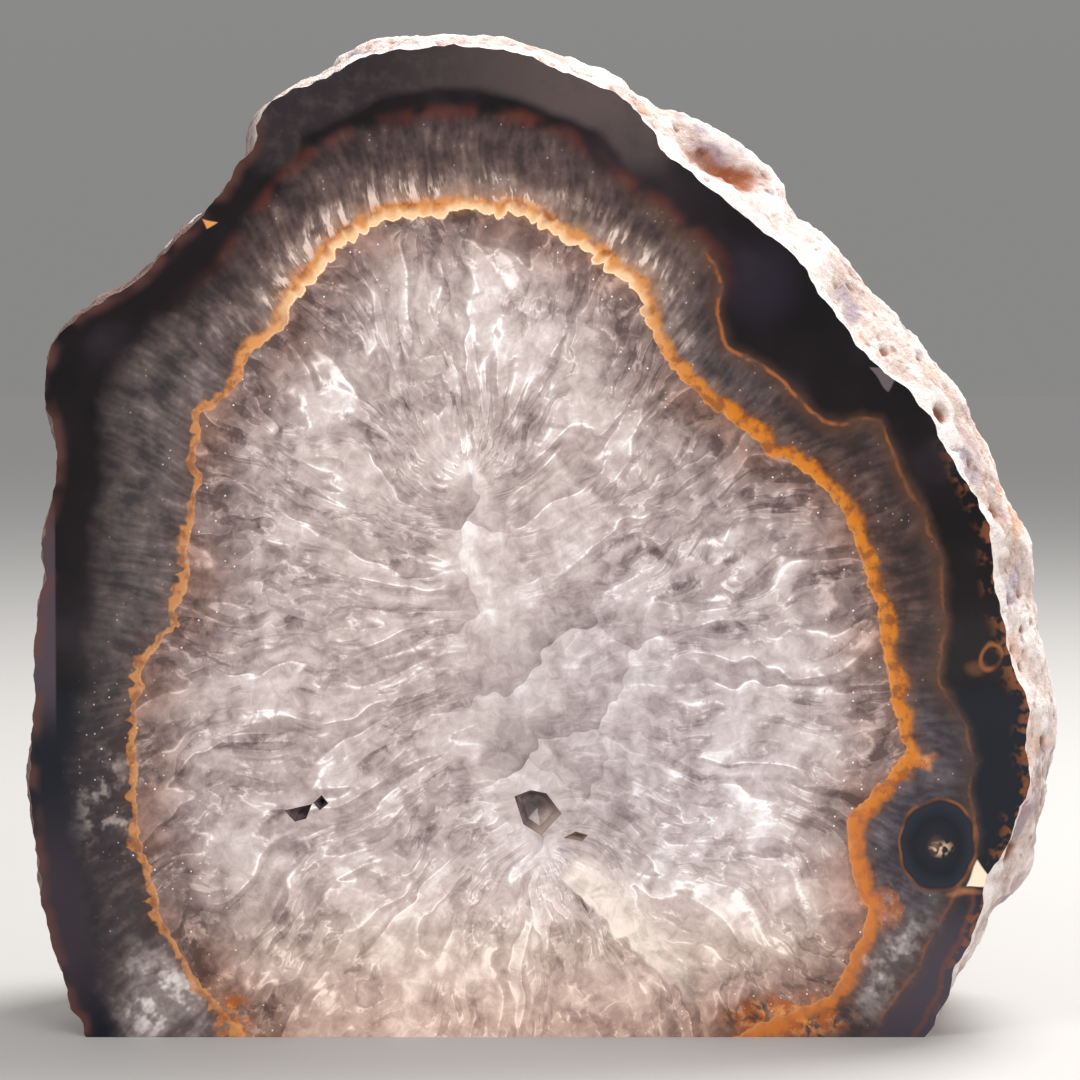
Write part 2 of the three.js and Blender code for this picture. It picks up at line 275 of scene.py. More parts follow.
def orderedRim(piece, onCut):
    # The skin's open edge on one cut, as points in order from one foot to the other
    editMode(piece, "EDGE")
    bpy.ops.mesh.select_all(action="DESELECT")
    bpy.ops.mesh.select_non_manifold()
    objectMode()
    mesh = piece.data
    neighbours = {}
    for edge in mesh.edges:
        a, b = edge.vertices
        if edge.select and onCut(mesh.vertices[a].co) and onCut(mesh.vertices[b].co):
            neighbours.setdefault(a, []).append(b)
            neighbours.setdefault(b, []).append(a)
    path = [next(v for v, others in neighbours.items() if len(others) == 1)]
    while True:
        onward = [v for v in neighbours[path[-1]] if v not in path[-2:]]
        if not onward:
            return [mesh.vertices[v].co.copy() for v in path]
        path.append(onward[0])


def scatter(loop, spacing):
    # Staggered points inside a loop, a little out of line, clear of its edge
    low, high = loop.min(axis=0), loop.max(axis=0)
    evenRow, wobble, clear = 0.866, 0.22, 0.55     # all in spacings
    rows = np.arange(low[1], high[1], spacing * evenRow)
    columns = np.arange(low[0], high[0], spacing)
    grid = np.array([[x + spacing / 2 * (i % 2), y] for i, y in enumerate(rows) for x in columns])
    grid += np.random.default_rng(5).uniform(-wobble, wobble, grid.shape) * spacing
    grid = grid[inside(grid, loop)]
    closed = np.vstack([loop, loop[:1]])
    return grid[lineReading(grid, closed)[0] > clear * spacing]


def fillCut(name, loop, holes, spacing, toPlace):
    # loop and holes are flat, in mm; toPlace turns a flat point into its place
    corners, edges = [], []
    for ring in [loop, *holes]:
        first = len(corners)
        corners += [Vector(p) for p in ring]
        edges += [(first + i, first + (i + 1) % len(ring)) for i in range(len(ring))]
    corners += [Vector(p) for p in scatter(loop, spacing)]
    points, _, faces, *_ = geometry.delaunay_2d_cdt(corners, edges, [], 1, 1e-6)
    flat = np.array([p[:] for p in points])
    middles = np.array([flat[list(face)].mean(axis=0) for face in faces])
    kept = inside(middles, loop)
    for hole in holes:
        kept &= ~inside(middles, np.array(hole))
    faces = [list(face) for face, keep in zip(faces, kept) if keep]
    places = [toPlace(p) for p in points]
    used = sorted({v for face in faces for v in face})
    order = {v: i for i, v in enumerate(used)}
    sheet = bpy.data.meshes.new(name)
    sheet.from_pydata([places[v] for v in used], [], [[order[v] for v in face] for face in faces])
    piece = bpy.data.objects.new(name, sheet)
    bpy.context.collection.objects.link(piece)
    return piece


def closeCuts(piece):
    touching = 0.001 * mm
    faceRim = orderedRim(piece, lambda place: abs(place.y - faceY) < touching)
    baseRim = orderedRim(piece, lambda place: abs(place.z) < touching)
    feet = faceRim[-1], faceRim[0]
    count = round((feet[1] - feet[0]).length / mm / geode["faceSpacing"])
    sill = [feet[0].lerp(feet[1], i / count) for i in range(1, count)]
    if (baseRim[0] - feet[0]).length < mm:
        baseRim.reverse()                        # both loops run on along the sill
    faceLoop = np.array([[p.x / mm, p.z / mm] for p in faceRim + sill])
    baseLoop = np.array([[p.x / mm, p.y / mm] for p in baseRim + sill])
    holes = [[[x + geode["middleX"], z] for x, z in ring] for ring in gaps["corners"]]
    sheets = [
        fillCut("face", faceLoop, holes, geode["faceSpacing"],
                lambda p: Vector((p.x * mm, faceY, p.y * mm))),
        fillCut("base", baseLoop, [], geode["baseSpacing"],
                lambda p: Vector((p.x * mm, p.y * mm, 0))),
    ]
    onlySelect(piece)
    for sheet in sheets:
        sheet.select_set(True)
    bpy.ops.object.join()
    editMode(piece, "VERT")
    bpy.ops.mesh.select_all(action="SELECT")
    bpy.ops.mesh.remove_doubles(threshold=geode["sheetWeld"] * mm)
    objectMode()
    return faceRim, baseRim


def sinkGaps(piece):
    # The open loops that are left are the gaps: each is closed, then pushed in step by step
    before = len(piece.data.polygons)
    editMode(piece, "EDGE")
    bpy.ops.mesh.select_all(action="DESELECT")
    bpy.ops.mesh.select_non_manifold()
    bpy.ops.mesh.fill_holes(sides=0)
    bpy.ops.mesh.select_all(action="SELECT")
    bpy.ops.mesh.normals_make_consistent(inside=False)
    objectMode()
    floors = set(range(before, len(piece.data.polygons)))
    selectFaces(piece, lambda face: face.index in floors)
    for inward, deeper in gaps["steps"]:
        bpy.ops.mesh.inset(thickness=inward * mm, depth=-deeper * mm, use_individual=True)
    bpy.ops.mesh.poke(offset=-gaps["point"] * mm)
    objectMode()


def nameZones(piece):
    # Each face gets the material of its zone, and the edges of the cuts stay sharp
    mesh = piece.data
    seamOut = [layer.vector[2] for layer in mesh.attributes["layers"].data]
    innerEnd, outerEnd = bands["seamReach"]
    zones = {}
    for face in mesh.polygons:
        zone = cutOf(face, hair / 10) or ("gap" if nearGaps(face.center) else "rind")
        slot = zone
        if zone == "face":
            readings = [seamOut[v] for v in face.vertices]
            slot = "seam"
            if face.center.z >= geode["stainHeight"] * mm:
                if max(readings) < innerEnd:
                    slot = "heart"
                elif min(readings) > outerEnd:
                    slot = "border"
        face.material_index = slots.index(slot)
        face.use_smooth = zone != "gap"
        for key in face.edge_keys:
            zones.setdefault(key, set()).add(zone)
    for edge in mesh.edges:
        edge.use_edge_sharp = len(zones[edge.key]) > 1


def readBands(piece, faceRim, baseRim):
    # Distances in mm that the stone's pattern follows, kept on the points of the mesh
    mesh = piece.data
    places = np.array([v.co[:] for v in mesh.vertices]) / mm
    flat = places[:, [0, 2]] - [geode["middleX"], 0]

    def closed(line):
        below = -bands["hiddenDepth"]
        left, right = line[0][0], line[-1][0]
        return np.array(line + [[right - 6, below / 2], [right - 30, below],
                                [left + 30, below], [left + 6, below / 2], line[0]])

    rimLine = np.array([[p.x / mm - geode["middleX"], p.z / mm] for p in faceRim])
    darkLine, seamLine = closed(bands["darkEdge"]), closed(bands["seam"])
    rimIn, darkOut, seamOut, run = np.zeros((4, len(flat)))
    onFace = places[:, 1] < faceY / mm + 0.01
    some = flat[onFace]
    rimIn[onFace] = lineReading(some, rimLine)[0]
    darkOut[onFace] = lineReading(some, darkLine)[0] * np.where(inside(some, darkLine[:-1]), -1, 1)
    seamOut[onFace], run[onFace] = lineReading(some, seamLine)
    seamOut[onFace] *= np.where(inside(some, seamLine[:-1]), -1, 1)

    # Crystals fan out from a stretch in the middle, as ellipses and hyperbolas do
    upper, lower = np.array(bands["fanFrom"]), np.array(bands["fanTo"])
    half = np.linalg.norm(lower - upper) / 2
    axis = (lower - upper) / (2 * half)
    toUpper, toLower = np.linalg.norm(flat - upper, axis=1), np.linalg.norm(flat - lower, axis=1)
    wide = np.clip((toUpper + toLower) / (2 * half), 1, None)
    turn = np.clip((toUpper - toLower) / (2 * half), -1, 1)
    side = np.sign((flat - upper) @ np.array([-axis[1], axis[0]]))
    reach = bands["fanReach"]
    aside = side * np.sqrt(1 - turn ** 2)
    fan = np.stack([reach * turn, reach * aside, half * np.sqrt(wide ** 2 - 1)], 1)

    # Under the base the same bands follow the rind round the back
    onBase = (places[:, 2] < 0.001) & ~onFace
    baseLine = np.array([[p.x / mm, p.y / mm] for p in baseRim])
    depth, along = lineReading(places[onBase][:, :2], baseLine)
    rimIn[onBase], darkOut[onBase] = depth, bands["baseDark"] - depth
    seamOut[onBase], run[onBase] = bands["baseSeam"] - depth, along
    fan[onBase] = np.stack([along, np.zeros(len(along)), reach - depth], 1)

    layers = mesh.attributes.new("layers", "FLOAT_VECTOR", "POINT")
    layers.data.foreach_set("vector", np.stack([rimIn, darkOut, seamOut], 1).astype(np.float32).ravel())
    fans = mesh.attributes.new("fan", "FLOAT_VECTOR", "POINT")
    fans.data.foreach_set("vector", fan.astype(np.float32).ravel())
    runs = mesh.attributes.new("run", "FLOAT", "POINT")
    runs.data.foreach_set("value", run.astype(np.float32))


def readHollows(piece):
    # How far each point of the skin lies below its surroundings, in mm, for the painted shade in the hollows
    # and the painted highlight on the bumps
    mesh = piece.data
    count = len(mesh.vertices)
    places = np.empty(count * 3)
    mesh.vertices.foreach_get("co", places)
    places = places.reshape(-1, 3) / mm
    outward = np.empty(count * 3)
    mesh.vertices.foreach_get("normal", outward)
    ends = np.empty(len(mesh.edges) * 2, dtype=np.int64)
    mesh.edges.foreach_get("vertices", ends)
    a, b = ends[0::2], ends[1::2]
    shared = np.bincount(a, minlength=count) + np.bincount(b, minlength=count)
    evened = places.copy()
    for _ in range(rind["evening"]):
        total = np.zeros_like(evened)
        for axis in range(3):
            total[:, axis] = np.bincount(a, evened[b, axis], count)
            total[:, axis] += np.bincount(b, evened[a, axis], count)
        evened = total / shared[:, None]
    depth = ((evened - places) * outward.reshape(-1, 3)).sum(1)
    hollow = mesh.attributes.new("hollow", "FLOAT", "POINT")
    hollow.data.foreach_set("value", depth.astype(np.float32))


print("opening the frame's stone")
stone = openShell()
print("roughening the rind")
roughen(stone)
print("closing the cuts")
faceRim, baseRim = closeCuts(stone)
sinkGaps(stone)
print("reading the bands")
readBands(stone, faceRim, baseRim)
readHollows(stone)
print("stone has", sum(len(face.vertices) - 2 for face in stone.data.polygons), "triangles")


# Materials. Every pattern is measured in mm on the stone itself.
def tone(red, green, blue):
    # A colour from 0 to 255, as a paint program gives it
    def linear(part):
        part /= 255
        return part / 12.92 if part <= 0.04045 else ((part + 0.055) / 1.055) ** 2.4
    return (linear(red), linear(green), linear(blue), 1)


# Short names for the nodes that the patterns are built from. They add to this tree.
painting = {"tree": None, "dimensions": "3D"}


def add(kind, inputs, **settings):
    tree = painting["tree"]
    made = tree.nodes.new("ShaderNode" + kind)
    for name, value in settings.items():
        setattr(made, name, value)
    for key, value in inputs.items():
        if isinstance(value, bpy.types.NodeSocket):
            tree.links.new(value, made.inputs[key])
        else:
            made.inputs[key].default_value = value
    return made


def calc(how, a, b=0.0, c=0.0):
    return add("Math", {0: a, 1: b, 2: c}, operation=how).outputs[0]


def plus(a, b, *more):
    total = calc("ADD", a, b)
    for value in more:
        total = calc("ADD", total, value)
    return total


def times(a, b, *more):
    total = calc("MULTIPLY", a, b)
    for value in more:
        total = calc("MULTIPLY", total, value)
    return total


def off(value, strength):
    # How far a noise lies from its middle, made stronger or weaker
    return calc("MULTIPLY_ADD", value, strength, -0.5 * strength)


def fade(value, low, high, start=0.0, end=1.0, how="SMOOTHSTEP"):
    return add("MapRange", {"Value": value, "From Min": low, "From Max": high,
                            "To Min": start, "To Max": end}, interpolation_type=how).outputs["Result"]


def near(value, middle, reach):
    # 1 where the value is at the middle, 0 further off than the reach
    return fade(calc("ABSOLUTE", plus(value, -middle)), reach, 0.0)


def mix(part, a, b, how="MIX"):
    return add("Mix", {"Factor": part, 6: a, 7: b}, data_type="RGBA", blend_type=how).outputs[2]


def tinted(colour, part, strength, shade, how="MIX"):
    # The colour with a shade over it where the part is 1
    return mix(times(part, strength), colour, tone(*shade), how)


def scaled(place, x, y, z=1.0):
    return add("VectorMath", {0: place, 1: (x, y, z)}, operation="MULTIPLY").outputs[0]


def moved(place, x, y, z=0.0):
    return add("VectorMath", {0: place, 1: (x, y, z)}, operation="ADD").outputs[0]


def split(place):
    return add("SeparateXYZ", {0: place}).outputs


def joined(x, y, z):
    return add("CombineXYZ", {0: x, 1: y, 2: z}).outputs[0]


def noiseOf(place, size, detail=2.0, rough=0.5):
    return add("TexNoise", {"Vector": place, "Scale": 1 / size, "Detail": detail, "Roughness": rough},
               noise_dimensions=painting["dimensions"]).outputs["Fac"]


def bent(place, size, amount):
    # The same place, led astray by a noise
    colour = add("TexNoise", {"Vector": place, "Scale": 1 / size, "Detail": 0.0},
                 noise_dimensions=painting["dimensions"]).outputs["Color"]
    centred = add("VectorMath", {0: colour, 1: (0.5, 0.5, 0.5)}, operation="SUBTRACT").outputs[0]
    return add("VectorMath", {0: centred, 1: (2 * amount,) * 3, 2: place},
               operation="MULTIPLY_ADD").outputs[0]


def cells(place, loose=1.0):
    return add("TexVoronoi", {"Vector": place, "Scale": 1.0, "Randomness": loose},
               feature="F1", voronoi_dimensions=painting["dimensions"]).outputs


def reachAlong(place, direction):
    # How far a place lies in a direction
    return add("VectorMath", {0: place, 1: direction}, operation="DOT_PRODUCT").outputs["Value"]


def leaning(place, found, lean):
    # How far a place lies to one side of the middle of its cell
    inCell = add("VectorMath", {0: place, 1: found["Position"]}, operation="SUBTRACT").outputs[0]
    return reachAlong(inCell, lean)


def ramp(value, stops):
    made = add("ValToRGB", {"Fac": value})
    points = made.color_ramp.elements
    while len(points) < len(stops):
        points.new(0.5)
    for point, (position, colour) in zip(points, stops):
        point.position, point.color = position, colour
    return made.outputs["Color"]


def awayFrom(place, x, z, across=1.0, up=1.0):
    # How far a place on the face lies from [x, z], with the distances across and up scaled
    arm = scaled(moved(place, -x, -z), across, up, 0.0)
    return add("VectorMath", {0: arm}, operation="LENGTH").outputs["Value"]


def spot(place, x, z, inner, outer, across=1.0, up=1.0):
    # 1 round [x, z] on the face, 0 outside; across and up stretch it
    return fade(awayFrom(place, x, z, 1 / across, 1 / up), inner, outer, 1.0, 0.0)


def attribute(name, output="Fac"):
    return add("Attribute", {}, attribute_name=name).outputs[output]


def shard(place, corners):
    # 1 inside a three-sided patch, its corners given clockwise
    patch = 1.0
    for (x, z), (nextX, nextZ) in zip(corners, corners[1:] + corners[:1]):
        long = math.hypot(nextX - x, nextZ - z)
        inward = ((nextZ - z) / long, -(nextX - x) / long, 0)
        patch = times(patch, fade(reachAlong(moved(place, -x, -z), inward), -0.15, 0.15))
    return patch


def newMaterial(name, dimensions):
    made = bpy.data.materials.new(name)
    made.use_nodes = True
    made.node_tree.nodes.clear()
    painting.update(tree=made.node_tree, dimensions=dimensions)
    place = add("TexCoord", {}).outputs["Object"]
    place = moved(scaled(place, 1 / mm, 1 / mm, 1 / mm), -geode["middleX"], 0)
    return made, place


def finishMaterial(colour, height, finish):
    # height is in mm, or None for a plain surface
    shader = add("BsdfPrincipled", {"Base Color": colour, **finish})
    if height is not None:
        bump = add("Bump", {"Height": height, "Distance": mm, "Strength": 1.0})
        shader.id_data.links.new(bump.outputs["Normal"], shader.inputs["Normal"])
    add("OutputMaterial", {"Surface": shader.outputs[0]})


def paintedGlints(flat, size, share, reach):
    # Painted glints, tiny bright points: a share of the cells of a loose pattern has one
    dots = cells(scaled(flat, 1 / size, 1 / size))
    own = split(dots["Color"])
    point = fade(dots["Distance"], reach * 0.4, reach, 1.0, 0.0)
    return times(point, fade(own[0], 1 - share, 1.02 - share), own[1])


def milkyQuartz(flat, fan, seamOut):
    # White quartz grown towards the middle: clouds and mottling, smoky windows with one
    # sharp side, and thin white veils between them
    clouds = noiseOf(bent(flat, 14, 5.0), 13, 3, 0.5)
    rough = bent(flat, 2.6, 0.9)
    mottle = noiseOf(rough, 3.6, 4, 0.68)
    stray = bent(bent(fan, 19.0, 5.0), 5.0, 1.2)
    reach = split(fan)[1]
    drawn = fade(reach, 1.0, 10.0)
    streaks = noiseOf(scaled(stray, 1.0, 0.42), 2.4, 3, 0.62)

    # Slivers: a share of them are dark beside one edge
    longPlace = scaled(stray, 1 / 4.5, 1 / 11.0)
    long = cells(longPlace)
    ends = near(leaning(longPlace, long, (0, 1, 0)), 0.0, 0.55)
    chosen = times(fade(split(long["Color"])[0], 0.5, 1.0), ends)
    window = times(chosen, fade(leaning(longPlace, long, (1, 0.15, 0)), -0.5, 0.3, 1.0, 0.0),
                   fade(mottle, 0.35, 0.6, 1.0, 0.4))

    # Veils: level lines of soft noises, only here and there, with smoke on one side
    veilNoise = noiseOf(scaled(moved(stray, 50, 20), 1.0, 0.34), 8.5, 2, 0.5)
    patch = fade(clouds, 0.4, 0.55)
    veil = times(near(veilNoise, 0.5, 0.028), fade(mottle, 0.42, 0.54))
    haze = near(veilNoise, 0.5, 0.16)
    smoke = times(fade(veilNoise, 0.5, 0.54), fade(veilNoise, 0.76, 0.56))
    smallNoise = noiseOf(scaled(moved(stray, 10, 80), 1.0, 0.42), 3.0, 3, 0.5)
    smallPatch = fade(clouds, 0.6, 0.42)
    smallVeil = times(near(smallNoise, 0.5, 0.05), fade(mottle, 0.45, 0.6))
    smallSmoke = times(fade(smallNoise, 0.5, 0.56), fade(smallNoise, 0.74, 0.58))

    # Wide smooth crystals fill the middle
    middle = calc("MAXIMUM", spot(flat, 3, 53, 8, 28, 0.95, 1.15), fade(reach, 10.0, 2.0))
    widePlace = scaled(moved(rough, 7, 0), 1 / 9.0, 1 / 9.0)
    wide = cells(widePlace)
    pane = plus(times(leaning(widePlace, wide, (-0.5, 0.85, 0)), 0.2),
                off(split(wide["Color"])[0], 0.16), 0.03)
    calm = times(drawn, fade(middle, 0, 1, 1.0, 0.35))
    detail = plus(off(streaks, 0.3), times(window, -0.3),
                  times(patch, plus(times(veil, 0.24), times(haze, 0.08), times(smoke, -0.2))),
                  times(smallPatch, plus(times(smallVeil, 0.2), times(smallSmoke, -0.14))))
    light = plus(times(detail, calm), times(pane, middle), off(clouds, 0.55), off(mottle, 0.78))

    # Smoky beside the seam, brightest at the lower right, with a white knot where it converges
    light = plus(light, fade(seamOut, -15.0, -0.5, 0.0, -0.28),
                 times(spot(flat, 34, 27, 2, 31), 0.22), times(spot(flat, -10.5, 90, 0.5, 8), 0.2),
                 times(spot(flat, 2, 22, 2, 16), 0.12), times(spot(flat, -16, 6, 6, 42), 0.18),
                 times(spot(flat, -12, 116, 4, 22), 0.08), 0.55)
    colour = ramp(light, [
        (0.0, tone(92, 79, 78)), (0.25, tone(138, 123, 121)), (0.5, tone(177, 162, 159)),
        (0.72, tone(206, 193, 190)), (1.0, tone(248, 242, 241))])
    cool = spot(flat, 18, 50, 8, 44)
    colour = tinted(colour, cool, 0.5, (236, 243, 251), "MULTIPLY")
    low = fade(split(flat)[1], 32.0, -2.0)
    colour = tinted(colour, low, 0.85, (255, 233, 214), "MULTIPLY")
    brown = times(fade(seamOut, -11.0, 0.0), fade(clouds, 0.3, 0.6, 0.4, 1.0))
    colour = tinted(colour, brown, 0.85, (222, 188, 172), "MULTIPLY")

    # An opaque cream crystal runs down from the holes to the right, sharp below
    crystal = marks["creamCrystal"]
    x, z = crystal["at"]
    across = reachAlong(moved(rough, -x, -z), crystal["across"])
    onward = reachAlong(moved(flat, -x, -z), crystal["along"])
    cream = times(fade(across, -0.15, 0.3), fade(across, 9.0, 1.5), fade(onward, -5.0, -1.0),
                  fade(onward, 28.0, 12.0), fade(mottle, 0.3, 0.56, 0.6, 1.0))
    colour = tinted(colour, cream, 0.8, (247, 234, 223))
    # Painted glints over the milky quartz, fading out near the seam
    bright = times(paintedGlints(flat, 1.4, 0.14, 0.13), fade(seamOut, -16.0, -6.0))
    return mix(bright, colour, tone(250, 244, 242))


def clearQuartz(flat, fan, seamOut, darkOut):
    # Grey see-through quartz outside the seam: soft fibres that stand on the seam
    x, height, _ = split(flat)
    stray = bent(fan, 10.0, 1.2)
    coarse = noiseOf(scaled(stray, 1.0, 0.3), 1.7, 3, 0.6)
    fine = noiseOf(scaled(stray, 1.0, 0.16), 0.8, 0)
    clouds = noiseOf(flat, 5.0, 3, 0.66)
    top = fade(height, 100.0, 126.0)
    light = plus(off(coarse, 0.42), off(fine, 0.16), off(clouds, 0.62))
    # White blades over the seam at the top
    bladeNoise = noiseOf(scaled(moved(stray, 40, 0), 1.0, 0.22), 1.2, 3, 0.62)
    clump = fade(noiseOf(moved(flat, 9, 70), 8, 1), 0.32, 0.52)
    blades = times(fade(bladeNoise, 0.47, 0.64), top, fade(seamOut, 9.0, 1.0), clump)
    besideSeam = times(fade(seamOut, 9.0, 0.5), fade(top, 0, 1, 0.05, 0.34))
    light = plus(light, times(blades, 0.62), besideSeam)
    # Pale veils at the left and at both feet
    veilNoise = fade(clouds, 0.44, 0.64)
    light = plus(light, times(veilNoise, spot(flat, -68, 36, 2, 12, 0.7, 1.2), 0.42),
                 times(spot(flat, -60, 6, 2, 13, 1.0, 0.9), plus(times(veilNoise, 0.2), 0.3)),
                 times(spot(flat, 55, 12, 3, 15), plus(times(veilNoise, 0.2), 0.2)))
    # Darker down the left, and on the right; a little lighter low on the right, part of the painted
    # reflection there
    leftDark = times(fade(x, -46.0, -60.0), fade(height, 70.0, 48.0), fade(height, 6.0, 22.0))
    rightSide = fade(x, 24.0, 48.0)
    rightLow = times(rightSide, fade(height, 58.0, 50.0), fade(height, 10.0, 24.0))
    light = plus(light, times(leftDark, -0.15), times(rightSide, -0.1), times(rightLow, 0.05), 0.39)
    colour = ramp(light, [
        (0.0, tone(34, 31, 36)), (0.28, tone(62, 54, 57)), (0.5, tone(98, 87, 86)),
        (0.74, tone(148, 136, 133)), (1.0, tone(218, 209, 207))])
    # Partly painted reflection: warm above about 54 mm on the right and over the top, where the polish
    # mirrors the front lamp, and bluish low on the right, where it mirrors the floor
    warm = times(plus(rightSide, times(top, 0.7)), fade(height, 50.0, 58.0))
    colour = tinted(colour, warm, 0.8, (244, 214, 196), "MULTIPLY")
    colour = tinted(colour, rightLow, 0.7, (218, 228, 250), "MULTIPLY")
    # Painted glints, mostly in the pale veil at the left and in the clouds
    some = plus(spot(flat, -66, 42, 4, 18, 0.8, 1.3), fade(clouds, 0.5, 0.6, 0.0, 0.5))
    bright = times(paintedGlints(flat, 1.2, 0.2, 0.15), some)
    colour = mix(bright, colour, tone(238, 232, 230))
    # It dims towards the dark agate
    dim = times(fade(darkOut, -7.0, 0.0, 0.0, 0.5), fade(top, 0, 1, 1.0, 0.5))
    return mix(dim, colour, tone(40, 34, 37))


def darkAgate(flat, rimIn, darkOut):
    # Near-black agate, grey over the top, lilac at the feet, bluish low down: that bluish tint is partly the
    # agate's own tone and partly a painted reflection of the floor under the level line
    x, height, _ = split(flat)
    light = noiseOf(flat, 12, 2)
    colour = ramp(light, [(0.3, tone(12, 9, 12)), (0.55, tone(21, 16, 20)), (0.8, tone(38, 31, 37))])
    # Partly painted reflection: bluish below about 55 mm, where the polish mirrors the floor
    colour = mix(fade(height, 57.0, 52.0, 0.0, 0.85), colour, tone(14, 21, 31))
    colour = tinted(colour, spot(flat, 62, 4, 9, 24), 0.9, (66, 58, 68))
    leftFoot = times(spot(flat, -76, 18, 6, 24, 0.6, 1.0), fade(rimIn, 8.0, 5.6))
    colour = tinted(colour, leftFoot, 0.7, (56, 46, 54))
    strip = times(fade(x, -75.5, -75.9), fade(height, 46.0, 56.0), fade(height, 86.0, 78.0))
    colour = tinted(colour, strip, 0.85, (74, 63, 72))
    # Grey layer under the rind at the top, thickest in the middle
    overTop = times(fade(x, -46.0, -43.0), fade(x, 22.0, 17.0), fade(height, 133.5, 138.5))
    thick = fade(plus(rimIn, off(light, 2.0)), 7.4, 5.6)
    greyTop = mix(fade(x, -30.0, 14.0), tone(44, 37, 40), tone(88, 75, 75))
    greyTop = mix(fade(noiseOf(flat, 3.2, 3, 0.65), 0.4, 0.8, 0.0, 0.6), greyTop, tone(74, 64, 64))
    colour = mix(times(overTop, thick, 0.92), colour, greyTop)
    colour = tinted(colour, spot(flat, 13, 131, 5, 19), 0.5, (46, 38, 43))
    haze = times(spot(flat, 34, 118, 2, 9), 0.5)
    colour = mix(haze, colour, tone(42, 35, 50))
    # Red-brown edge of the rim on the left, and of the dark agate over the top
    flick = fade(noiseOf(flat, 6, 1), 0.3, 0.6)
    rust = times(fade(rimIn, 2.2, 0.2), fade(x, -40.0, -46.0), flick)
    colour = tinted(colour, rust, 0.7, (92, 58, 52))
    arch = times(fade(height, 112.0, 132.0), near(darkOut, 1.0, 2.2), flick)
    colour = tinted(colour, arch, 0.7, (92, 44, 36))
    # Red-brown line beside the rim at the right foot, and rust where the rind begins
    foot = times(near(rimIn, 1.6, 0.7), fade(height, 27.0, 22.0), fade(x, 40.0, 50.0))
    colour = tinted(colour, foot, 0.6, (100, 60, 52))
    crust = fade(noiseOf(flat, 3.0, 2, 0.65), 0.48, 0.62)
    crusted = times(fade(rimIn, 3.0, 0.2), fade(x, 60.0, 68.0), crust)
    return tinted(colour, crusted, 0.7, (128, 76, 44))


def borderPattern(flat, fan, rimIn, darkOut, seamOut):
    # Clear quartz and dark agate, with what lies between them
    x, height, _ = split(flat)
    ring = clearQuartz(flat, fan, seamOut, darkOut)
    dark = darkAgate(flat, rimIn, darkOut)
    # The dark agate ends crisply on the right and softly elsewhere
    crisp = times(fade(x, 23.0, 30.0), fade(height, 86.0, 96.0, 0.6, 1.0))
    soft = fade(crisp, 0, 1, 2.4, 0.35, "LINEAR")
    unevenness = noiseOf(flat, 4.5, 3)
    uneven = plus(darkOut, times(off(unevenness, 1.0), fade(crisp, 0, 1, 3.4, 1.2)))
    colour = mix(fade(calc("DIVIDE", uneven, soft), -1.0, 1.0), ring, dark)
    # Rust-brown along its edge: a thin line round the bays, a soft shade below them
    shade = times(near(uneven, -0.7, 2.4), fade(x, 6.0, 24.0), fade(height, 50.0, 56.0, 0.5, 1.0))
    colour = tinted(colour, shade, 0.5, (88, 60, 44))
    strength = fade(unevenness, 0.38, 0.58, 0.1, 0.85)
    line = times(near(uneven, -0.35, 0.5), fade(x, 24.0, 28.0),
                 fade(height, 88.0, 98.0, 0.35, 1.0), strength)
    colour = mix(line, colour, tone(160, 92, 48))
    return eyeAndChips(flat, colour)


def eyeAndChips(flat, colour):
    # A round eye at the lower right, a smaller one above it, and pale chips in the dark
    strayed = bent(flat, 4, 0.6)
    uneven = noiseOf(flat, 3.2, 0)
    eye, smallEye = marks["eye"], marks["smallEye"]
    x, z = eye["at"]
    fromEye = awayFrom(strayed, x, z, 1.0, eye["upScale"])
    disc = ramp(fade(fromEye, 0.0, eye["radius"], how="LINEAR"), [
        (0.0, tone(112, 90, 78)), (0.1, tone(70, 56, 52)), (0.24, tone(26, 27, 36)),
        (0.6, tone(16, 19, 28)), (0.9, tone(30, 36, 48)), (0.97, tone(26, 22, 26))])
    colour = mix(fade(fromEye, eye["radius"] + 0.4, eye["radius"] - 0.4), colour, disc)
    ring = times(near(fromEye, eye["radius"], 0.42), fade(uneven, 0.34, 0.62, 0.3, 0.95))
    colour = mix(ring, colour, tone(122, 74, 44))
    core = times(spot(strayed, x + 0.7, z - 0.4, 0.3, 1.7, 1.2, 0.8),
                 fade(noiseOf(flat, 0.9, 0), 0.42, 0.58))
    colour = mix(core, colour, tone(196, 164, 136))
    streak = times(spot(strayed, 66.0, 22.9, 0.2, 2.6, 1.7, 0.42), fade(uneven, 0.3, 0.6))
    colour = tinted(colour, streak, 0.7, (176, 112, 76))
    fromSmall = awayFrom(strayed, *smallEye["at"], 1.0, smallEye["upScale"])
    ring = times(near(fromSmall, smallEye["radius"], 0.5), fade(uneven, 0.3, 0.6, 0.2, 0.75))
    colour = mix(ring, colour, tone(150, 88, 46))
    colour = tinted(colour, spot(strayed, 68.3, 58.2, 0.4, 2.6, 1.0, 0.7), 0.5, (110, 72, 44))
    for corners, shown in marks["chips"]:
        colour = mix(shard(strayed, corners), colour, tone(*shown))
    return colour


